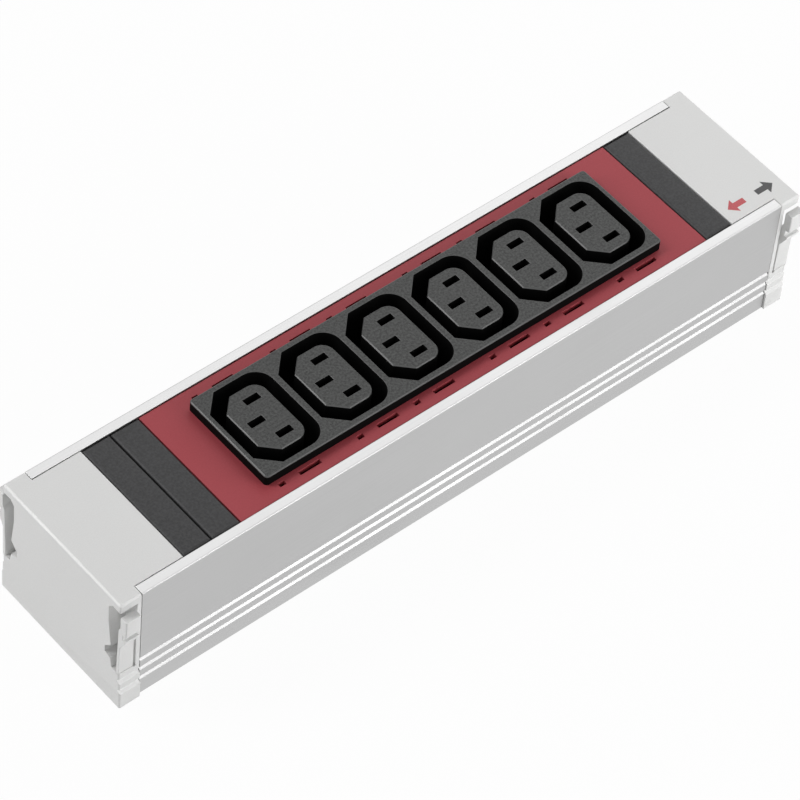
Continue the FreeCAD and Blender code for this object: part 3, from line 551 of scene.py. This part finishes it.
def grow(name, places, tree, values):
    """Runs a geometry node tree on a set of points and keeps the result as a plain mesh."""
    mesh = bpy.data.meshes.new(name + "_places")
    mesh.from_pydata(places, [], [])
    holder = as_object(name + "_places", mesh)
    modifier = holder.modifiers.new("Grow", "NODES")
    modifier.node_group = tree
    for item in tree.interface.items_tree:
        if item.in_out == "INPUT" and item.name in values:
            modifier[item.identifier] = values[item.name]
    return baked(holder, name)


class MODULE_OT_housing(bpy.types.Operator):
    """Extruded aluminium housing with its grooves and rims"""

    bl_idname = "outlet_module.housing"
    bl_label = "Housing"

    def execute(self, context):
        piece = rounded_copy("housing_profile", "housing", settings().detail.metal_edge)
        piece.data.materials.append(anodised_aluminium(tuple(settings().finish.aluminium)))
        place_piece(piece, HOUSING, "anodised_aluminium", "housing_profile")
        return {"FINISHED"}


class MODULE_OT_caps(bpy.types.Operator):
    """Moulded end caps with their label plates"""

    bl_idname = "outlet_module.caps"
    bl_label = "End caps"

    def execute(self, context):
        for cad_node in CAPS:
            name = cad_node.replace("end_cap", "cap")
            piece = rounded_copy(
                cad_node, name, settings().detail.moulded_edge, latch_foot(), BEVEL_ANGLE, SHORT_EDGE
            )
            piece.data.materials.append(cap_plastic())
            place_piece(piece, HOUSING, "light_grey_plastic", cad_node)
        return {"FINISHED"}


class MODULE_OT_latches(bpy.types.Operator):
    """Press-in latches of the four corners"""

    bl_idname = "outlet_module.latches"
    bl_label = "Latches"

    def execute(self, context):
        for cad_node in LATCHES:
            name = cad_node + "_tongue"
            piece = rounded_copy(cad_node, name, settings().detail.moulded_edge, latch_foot())
            swell_foot(piece.data)
            piece.data.materials.append(cap_plastic())
            place_piece(piece, cad_node, "light_grey_plastic", cad_node)
        return {"FINISHED"}


class MODULE_OT_plate(bpy.types.Operator):
    """Red plate that carries the outlet block"""

    bl_idname = "outlet_module.plate"
    bl_label = "Red plate"

    def execute(self, context):
        piece = rounded_copy("socket_plate", "red_plate", settings().detail.metal_edge)
        piece.data.materials.append(plate_plastic())
        place_piece(piece, HOUSING, "red_plastic", "socket_plate")
        return {"FINISHED"}


class MODULE_OT_strips(bpy.types.Operator):
    """Blank filler strips beside the red plate"""

    bl_idname = "outlet_module.strips"
    bl_label = "Blank strips"

    def execute(self, context):
        for cad_node in STRIPS:
            piece = rounded_copy(cad_node, cad_node.replace("blank_", ""), settings().detail.metal_edge)
            piece.data.materials.append(strip_plastic())
            place_piece(piece, HOUSING, "dark_grey_plastic", cad_node)
        return {"FINISHED"}


class MODULE_OT_block(bpy.types.Operator):
    """Outlet block with its six open wells"""

    bl_idname = "outlet_module.block"
    bl_label = "Outlet block"

    def execute(self, context):
        piece = rounded_copy("outlet_frame", "outlet_block", settings().detail.metal_edge)
        for material in (block_plastic(), shaded_edge_plastic(), recess_shade_plastic()):
            piece.data.materials.append(material)
        # Sloping faces take the darker edge finish and upright walls the near-black one, both painted shade
        for face in piece.data.polygons:
            if face.normal.z < SHADE_SLOPE:
                face.material_index = SHADE_SLOT
            elif face.normal.z < SHADED_EDGE_SLOPE:
                face.material_index = SHADED_EDGE_SLOT
        place_piece(piece, HOUSING, "black_plastic", "outlet_frame")
        return {"FINISHED"}


class MODULE_OT_cores(bpy.types.Operator):
    """Six outlet cores with their pin slots"""

    bl_idname = "outlet_module.cores"
    bl_label = "Outlet cores"

    def execute(self, context):
        centres = [(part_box(name)[0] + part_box(name)[1]) / 2 for name in CORES]
        template = rounded_copy(CORES[0], "core_template", settings().detail.metal_edge)
        places = [centre - centres[0] for centre in centres]
        # The cores' sloping edges and upright walls take the same painted shade as the block
        piece = grow(
            "outlet_cores", places, parts_on_points_tree(),
            {"Part": template, "Finish": block_plastic(), "Edge finish": shaded_edge_plastic(),
             "Edge slope": SHADED_EDGE_SLOPE, "Recess finish": recess_shade_plastic(), "Recess slope": SHADE_SLOPE},
        )
        bpy.data.objects.remove(template)
        place_piece(piece, HOUSING, "black_plastic", *CORES)
        return {"FINISHED"}


def ring(work, radius, height, sides=48):
    """A closed ring of points round the vertical axis."""
    turn = math.tau / sides
    return [
        work.verts.new((radius * math.cos(i * turn), radius * math.sin(i * turn), height))
        for i in range(sides)
    ]


def turned_part(name, outline):
    """A closed round part from the radii and heights of its outline."""
    work = bmesh.new()
    rings = [ring(work, radius, height) for radius, height in outline]
    for lower, upper in zip(rings, rings[1:]):
        for i, corner in enumerate(lower):
            work.faces.new((lower[i - 1], corner, upper[i], upper[i - 1]))
    work.faces.new(list(reversed(rings[0])))
    work.faces.new(rings[-1])
    mesh = bpy.data.meshes.new(name)
    work.to_mesh(mesh)
    work.free()
    return as_object(name, mesh)


class MODULE_OT_cap_screws(bpy.types.Operator):
    """Four countersunk screws with cross drives in the underside"""

    bl_idname = "outlet_module.cap_screws"
    bl_label = "Cap screws"

    drive_depth = 0.9 * MM
    dome = 0.25 * MM
    rim = 0.25 * MM

    def execute(self, context):
        detail = settings().detail
        low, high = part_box("cap_screws")
        head = detail.screw_head / 2
        shank = detail.screw_shank / 2
        outline = [
            (head - self.rim, 0),
            (head, self.dome),
            (shank, self.dome + head - shank),
            (shank, high.z - low.z),
        ]
        template = turned_part("screw_template", outline)
        tools = []
        for size in ((detail.screw_drive, detail.screw_slot), (detail.screw_slot, detail.screw_drive)):
            bpy.ops.mesh.primitive_cube_add(size=1)
            tool = context.object
            tool.scale = (*size, 2 * self.drive_depth)
            cut = template.modifiers.new("Drive", "BOOLEAN")
            cut.operation = "DIFFERENCE"
            cut.object = tool
            tools.append(tool)
        template = baked(template, "screw_template")
        for tool in tools:
            bpy.data.objects.remove(tool)
        places = [
            Vector((x, y, low.z))
            for x in (low.x + head, high.x - head)
            for y in (low.y + head, high.y - head)
        ]
        piece = grow(
            "cross_screws", places, parts_on_points_tree(),
            {"Part": template, "Finish": screw_steel(), "Edge finish": screw_steel(),
             "Recess finish": screw_steel()},
        )
        bpy.data.objects.remove(template)
        place_piece(piece, HOUSING, "zinc_plated_steel", "cap_screws")
        return {"FINISHED"}


class MODULE_OT_channel_covers(bpy.types.Operator):
    """Insulating slips that close the bar channels in the floors of the wells"""

    bl_idname = "outlet_module.channel_covers"
    bl_label = "Channel covers"

    below_floor = 0.1 * MM
    thickness = 1.0 * MM
    gap = 0.3 * MM
    shortest = 1.0 * MM

    def execute(self, context):
        base_low, base_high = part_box("outlet_base")
        pitch = (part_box(CORES[-1])[0].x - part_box(CORES[0])[0].x) / (len(CORES) - 1)
        top = base_high.z - self.below_floor
        work = bmesh.new()
        for kind in ("line", "neutral", "earth"):
            bar_low, bar_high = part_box(kind + "_bar")
            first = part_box(kind + "_contacts")[0].x
            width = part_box(kind + "_contacts")[1].x - first - pitch * (len(CORES) - 1)
            starts = [max(base_low.x, bar_low.x)]
            ends = []
            for i in range(len(CORES)):
                ends.append(first + i * pitch - self.gap)
                starts.append(first + i * pitch + width + self.gap)
            ends.append(base_high.x)
            for start, end in zip(starts, ends):
                if end - start > self.shortest:
                    low = Vector((start, bar_low.y, top - self.thickness))
                    high = Vector((end, bar_high.y, top))
                    size = Matrix.Diagonal((*(high - low), 1.0))
                    bmesh.ops.create_cube(work, matrix=Matrix.Translation((low + high) / 2) @ size)
        mesh = bpy.data.meshes.new("channel_covers")
        work.to_mesh(mesh)
        work.free()
        piece = as_object("channel_covers", mesh)
        # The slips take the near-black finish that paints the shade at the floors of the wells
        mesh.materials.append(recess_shade_plastic())
        place_piece(piece, HOUSING, "black_plastic")
        return {"FINISHED"}


class MODULE_OT_inner_parts(bpy.types.Operator):
    """Contacts, bars, plug and screws that keep their CAD shapes"""

    bl_idname = "outlet_module.inner_parts"
    bl_label = "Inner parts"

    def execute(self, context):
        for cad_node in BRASS_NODES:
            dress(cad_node, contact_brass())
        for cad_node in STEEL_NODES:
            dress(cad_node, screw_steel())
        # The inner plastic parts take the near-black finish that paints shade
        for cad_node in PLASTIC_NODES:
            dress(cad_node, recess_shade_plastic())
        return {"FINISHED"}


def arrow_mesh(name, tip, direction, thickness):
    """A thin arrow that lies along X with its tip at a point."""
    detail = settings().detail
    neck = tip.x - direction * detail.arrow_head
    tail = tip.x - direction * detail.arrow_length
    outline = [
        (tip.x, tip.y),
        (neck, tip.y + detail.arrow_width / 2),
        (neck, tip.y + detail.arrow_shaft / 2),
        (tail, tip.y + detail.arrow_shaft / 2),
        (tail, tip.y - detail.arrow_shaft / 2),
        (neck, tip.y - detail.arrow_shaft / 2),
        (neck, tip.y - detail.arrow_width / 2),
    ]
    work = bmesh.new()
    face = work.faces.new([work.verts.new((x, y, tip.z)) for x, y in outline])
    film = bmesh.ops.extrude_face_region(work, geom=[face])["geom"]
    for item in film:
        if isinstance(item, bmesh.types.BMVert):
            item.co.z += thickness
    bmesh.ops.recalc_face_normals(work, faces=work.faces)
    mesh = bpy.data.meshes.new(name)
    work.to_mesh(mesh)
    work.free()
    return mesh


class MODULE_OT_arrows(bpy.types.Operator):
    """Two plain arrows printed on the right label plate"""

    bl_idname = "outlet_module.arrows"
    bl_label = "Arrows"

    film = 0.02 * MM
    row = 17.45 * MM
    black_tip = 3.35 * MM
    red_tip = 2.6 * MM

    def execute(self, context):
        finish = settings().finish
        low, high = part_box("end_cap_right")
        for name, colour, x, direction in (
            ("arrow_black", finish.arrow_black, high.x - self.black_tip, 1),
            ("arrow_red", finish.arrow_red, low.x + self.red_tip, -1),
        ):
            tip = Vector((x, -self.row, high.z))
            piece = as_object(name, arrow_mesh(name, tip, direction, self.film))
            piece.data.materials.append(printing_ink("printed_" + name, tuple(colour)))
            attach(piece, HOUSING)
        return {"FINISHED"}


def any_ray(tree):
    """One for rays from the camera or from a reflection, and nothing for rays of light."""
    ray = node(tree, "ShaderNodeLightPath").outputs
    seen = ray["Is Camera Ray"]
    for kind in ("Is Glossy Ray", "Is Transmission Ray"):
        seen = node(tree, "ShaderNodeMath", {0: seen, 1: ray[kind]}, operation="MAXIMUM").outputs["Value"]
    return seen


def floor_material():
    """Pale floor: plain white to the camera and to reflections, with the object's shadow left in."""
    material = bpy.data.materials.new("white_floor")
    material.use_nodes = True
    tree = material.node_tree
    tree.nodes.clear()
    seen = any_ray(tree)
    share = node(tree, "ShaderNodeMath", {0: seen, 1: FLOOR_GLOW}, operation="MULTIPLY").outputs["Value"]
    matt = node(tree, "ShaderNodeBsdfDiffuse", {"Color": grey(FLOOR_GREY)})
    glow = node(tree, "ShaderNodeEmission", {"Color": grey(1.0), "Strength": 1.0})
    lit = node(
        tree, "ShaderNodeMixShader", {0: share, 1: matt.outputs["BSDF"], 2: glow.outputs["Emission"]}
    )
    clear = node(tree, "ShaderNodeBsdfTransparent")
    back = node(tree, "ShaderNodeNewGeometry").outputs["Backfacing"]
    sided = node(
        tree, "ShaderNodeMixShader", {0: back, 1: lit.outputs["Shader"], 2: clear.outputs["BSDF"]}
    )
    node(tree, "ShaderNodeOutputMaterial", {"Surface": sided.outputs["Shader"]})
    return material


def white_world(strength):
    """Even white surroundings: full white to the camera and to reflections, softer as light."""
    world = bpy.data.worlds.new("studio")
    world.use_nodes = True
    tree = world.node_tree
    tree.nodes.clear()
    seen = any_ray(tree)
    level = node(
        tree, "ShaderNodeMapRange", {"Value": seen, "To Min": strength, "To Max": 1.0}
    ).outputs["Result"]
    sky = node(tree, "ShaderNodeBackground", {"Color": grey(1.0), "Strength": level})
    node(tree, "ShaderNodeOutputWorld", {"Surface": sky.outputs["Background"]})
    return world


def turn_to(holder, right, up, back):
    """Turns a lamp or a camera so that its own axes lie along three directions."""
    holder.rotation_mode = "QUATERNION"
    holder.rotation_quaternion = Matrix((right, up, back)).transposed().to_quaternion()


def softbox(name, watts, towards, distance, width, length, along):
    """An area light that looks at the middle of the object, with its length along a direction."""
    lamp = bpy.data.lights.new(name, "AREA")
    lamp.shape = "RECTANGLE"
    lamp.size = width
    lamp.size_y = length
    lamp.energy = watts
    holder = bpy.data.objects.new(name, lamp)
    bpy.context.scene.collection.objects.link(holder)
    back = Vector(towards).normalized()
    right = Vector(along).cross(back).normalized()
    centre = (CAD_BOX[0] + CAD_BOX[1]) / 2
    holder.location = centre + back * distance
    turn_to(holder, right, back.cross(right), back)
    return holder


class MODULE_OT_stage(bpy.types.Operator):
    """Pale floor, soft studio light and the camera"""

    bl_idname = "outlet_module.stage"
    bl_label = "Stage"

    # Direction from the object to each softbox, its distance, width and length, and the way its length runs
    back_box = ((0.69, 0.34, 0.64), 800 * MM, 900 * MM, 900 * MM, (0, 0, 1))
    front_box = ((0.39, -0.80, 0.46), 1200 * MM, 450 * MM, 450 * MM, (0, 0, 1))
    side_box = ((-0.62, 0.47, 0.62), 1200 * MM, 200 * MM, 1500 * MM, (1, 0, 1))
    fill_box = ((0.60, -0.74, 0.15), 900 * MM, 500 * MM, 500 * MM, (0, 0, 1))
    left_box = ((-0.45, -0.75, 0.48), 1200 * MM, 700 * MM, 700 * MM, (0, 0, 1))
    rim_height = 44.4 * MM
    # The floor lies a hair below the object, so that the two never share a plane
    floor_gap = 0.1 * MM
    # The film's width in millimetres, and the nearest and farthest things that the camera sees
    film_width = 36.0
    nearest = 50 * MM
    farthest = 50.0

    def execute(self, context):
        stage = settings().stage
        half = stage.floor_size / 2
        corners = [(x * half, y * half, -self.floor_gap) for x, y in ((-1, -1), (1, -1), (1, 1), (-1, 1))]
        mesh = bpy.data.meshes.new("floor")
        mesh.from_pydata(corners, [], [(0, 1, 2, 3)])
        floor = as_object("floor", mesh)
        mesh.materials.append(floor_material())
        context.scene.world = white_world(stage.sky)
        softbox("back_softbox", stage.back_light, *self.back_box)
        softbox("front_softbox", stage.front_light, *self.front_box)
        softbox("side_softbox", stage.side_light, *self.side_box)
        fill = softbox("fill_softbox", stage.fill_light, *self.fill_box)
        # It stands low, so flat tops would mirror it as a glare when seen from the other side
        fill.visible_glossy = False
        softbox("left_softbox", stage.left_light, *self.left_box)
        self.add_camera(context.scene, stage)
        context.scene.view_settings.view_transform = "Standard"
        return {"FINISHED"}

    def add_camera(self, scene, stage):
        """The photograph's camera, with its lean."""
        flat = math.cos(stage.elevation)
        back = Vector(
            (math.sin(stage.azimuth) * flat, -math.cos(stage.azimuth) * flat, math.sin(stage.elevation))
        )
        level = Vector((math.cos(stage.azimuth), math.sin(stage.azimuth), 0))
        upright = back.cross(level)
        right = math.cos(stage.roll) * level + math.sin(stage.roll) * upright
        up = math.cos(stage.roll) * upright - math.sin(stage.roll) * level
        data = bpy.data.cameras.new("camera")
        data.lens = stage.lens
        data.sensor_width = self.film_width
        data.clip_start = self.nearest
        data.clip_end = self.farthest
        camera = bpy.data.objects.new("camera", data)
        scene.collection.objects.link(camera)
        target = Vector((0, 0, self.rim_height))
        camera.location = target + back * stage.distance - right * stage.slide_right - up * stage.slide_up
        turn_to(camera, right, up, back)
        scene.camera = camera


STEPS = (
    MODULE_OT_housing,
    MODULE_OT_caps,
    MODULE_OT_latches,
    MODULE_OT_plate,
    MODULE_OT_strips,
    MODULE_OT_block,
    MODULE_OT_cores,
    MODULE_OT_channel_covers,
    MODULE_OT_cap_screws,
    MODULE_OT_inner_parts,
    MODULE_OT_arrows,
    MODULE_OT_stage,
)


class MODULE_PT_sidebar(bpy.types.Panel):
    """Lists the settings and the steps of the outlet module."""

    bl_label = "Outlet module"
    bl_space_type = "VIEW_3D"
    bl_region_type = "UI"
    bl_category = "Module"

    def draw(self, context):
        for group in (settings().finish, settings().detail, settings().stage):
            for name in group.__annotations__:
                self.layout.prop(group, name)
        for step in STEPS:
            self.layout.operator(step.bl_idname)


CLASSES = (FinishSettings, DetailSettings, StageSettings, ModuleSettings, *STEPS, MODULE_PT_sidebar)


def register():
    for item in CLASSES:
        bpy.utils.register_class(item)
    bpy.types.Scene.outlet_module = PointerProperty(type=ModuleSettings)


def unregister():
    del bpy.types.Scene.outlet_module
    for item in reversed(CLASSES):
        bpy.utils.unregister_class(item)


def main():
    register()
    for step in STEPS:
        group, name = step.bl_idname.split(".")
        getattr(getattr(bpy.ops, group), name)()


if __name__ == "__main__":
    main()
